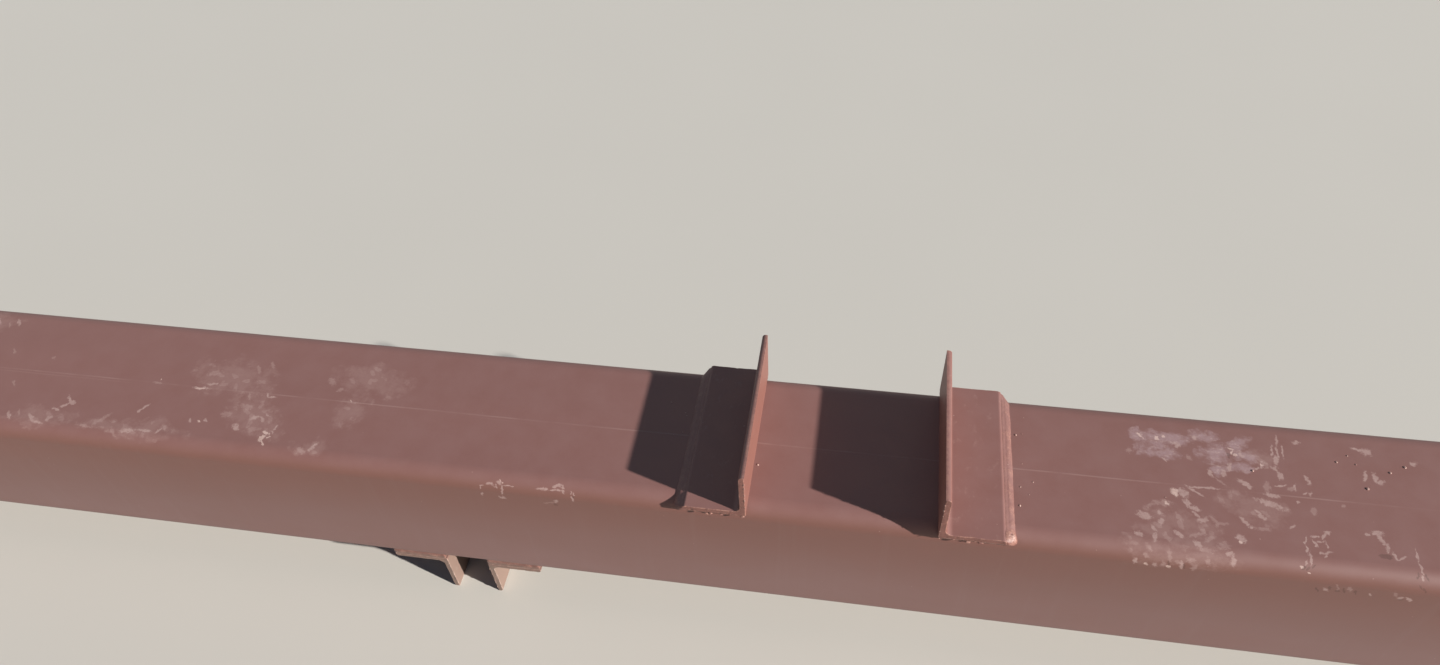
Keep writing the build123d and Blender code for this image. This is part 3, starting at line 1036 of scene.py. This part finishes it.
class COLUMN_OT_set_stage(bpy.types.Operator):
    """Lay the floor, and set the lamps, the backdrop and the camera"""

    bl_idname = "column.set_stage"
    bl_label = "Set Stage"

    def execute(self, context):
        settings = context.scene.column_stage
        lay_floor(settings)
        hang_lamps(settings)
        light_world(settings)
        place_camera(settings)
        return {"FINISHED"}


def lay_floor(settings, reach=60.0):
    """A wide plain floor."""
    mesh = bpy.data.meshes.new("floor")
    corners = [(-reach, -reach, 0), (reach, -reach, 0), (reach, reach, 0), (-reach, reach, 0)]
    mesh.from_pydata(corners, [], [(0, 1, 2, 3)])
    graph = Graph(bpy.data.materials.new("floor"))
    light = graph.between(graph.noise(graph.position(), 0.5, 1), 0.985, 1.015)
    mesh.materials.append(graph.finish(graph.scaled(settings.floor, light), 0.9))
    floor = bpy.data.objects.new("floor", mesh)
    bpy.context.scene.collection.objects.link(floor)


def sun(name, towards, strength, spread, colour):
    """A lamp far off, in this direction, that is this wide."""
    data = bpy.data.lights.new(name, "SUN")
    data.energy, data.angle, data.color = strength, spread, colour
    lamp = bpy.data.objects.new(name, data)
    lamp.rotation_euler = Vector(towards).to_track_quat("Z", "Y").to_euler()
    bpy.context.scene.collection.objects.link(lamp)


def hang_lamps(settings):
    """A key from the right, as in the photograph, and a broad soft lamp from behind."""
    sun("key", KEY_FROM, settings.key, settings.key_spread, settings.key_colour)
    sun("soft", SOFT_FROM, settings.soft, settings.soft_spread, settings.soft_colour)


def light_world(settings):
    """Even light from all round. The camera and reflections see the backdrop's colour instead."""
    world = bpy.data.worlds.new("backdrop")
    bpy.context.scene.world = world
    graph = Graph(world)
    even = {"Color": (*settings.fill_colour, 1), "Strength": settings.fill}
    fill = graph.node("ShaderNodeBackground", even).outputs[0]
    seen = graph.node("ShaderNodeBackground", {"Color": (*settings.floor, 1)}).outputs[0]
    ray = graph.node("ShaderNodeLightPath").outputs
    mirrored = graph.most(ray["Is Glossy Ray"], ray["Is Transmission Ray"])
    shows = graph.most(ray["Is Camera Ray"], mirrored)
    mix = graph.node("ShaderNodeMixShader", {0: shows, 1: fill, 2: seen})
    graph.node("ShaderNodeOutputWorld", {"Surface": mix.outputs[0]})


def place_camera(settings):
    """The photograph's own view: from above the near side, turned a little left and rolled a little."""
    data = bpy.data.cameras.new("camera")
    data.lens = settings.lens
    data.clip_start = 0.05
    camera = bpy.data.objects.new("camera", data)
    turn = Matrix.Rotation(settings.yaw, 4, "Z") @ Matrix.Rotation(math.pi / 2 - settings.dip, 4, "X")
    turn = turn @ Matrix.Rotation(settings.roll, 4, "Z")
    camera.matrix_world = Matrix.Translation(settings.place) @ turn
    bpy.context.scene.collection.objects.link(camera)
    bpy.context.scene.camera = camera


class COLUMN_PT_sidebar(bpy.types.Panel):
    """Lists the column's pieces and their settings"""

    bl_label = "Column with Angle Cleats"
    bl_idname = "COLUMN_PT_sidebar"
    bl_space_type = "VIEW_3D"
    bl_region_type = "UI"
    bl_category = "Column"

    def draw(self, context):
        for operator, group in STEPS:
            box = self.layout.box()
            box.operator(operator.bl_idname)
            settings = getattr(context.scene, group)
            for key in settings.bl_rna.properties.keys():
                if key not in ("rna_type", "name"):
                    box.prop(settings, key)


SETTINGS = {
    "column_paint": PaintSettings,
    "column_cleats": CleatSettings,
    "column_welds": WeldSettings,
    "column_stage": StageSettings,
}
STEPS = (
    (COLUMN_OT_set_stage, "column_stage"),
    (COLUMN_OT_paint_tube, "column_paint"),
    (COLUMN_OT_make_cleats, "column_cleats"),
    (COLUMN_OT_make_welds, "column_welds"),
)
CLASSES = (*SETTINGS.values(), *(operator for operator, _ in STEPS), COLUMN_PT_sidebar)


def register():
    for each in CLASSES:
        bpy.utils.register_class(each)
    for name, group in SETTINGS.items():
        setattr(bpy.types.Scene, name, bpy.props.PointerProperty(type=group))


def unregister():
    for name in SETTINGS:
        delattr(bpy.types.Scene, name)
    for each in reversed(CLASSES):
        bpy.utils.unregister_class(each)


def main():
    """Set the stage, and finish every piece."""
    register()
    bpy.context.scene.view_settings.view_transform = "Standard"
    bpy.ops.column.set_stage()
    bpy.ops.column.paint_tube()
    bpy.ops.column.make_cleats()
    bpy.ops.column.make_welds()


if __name__ == "__main__":
    main()
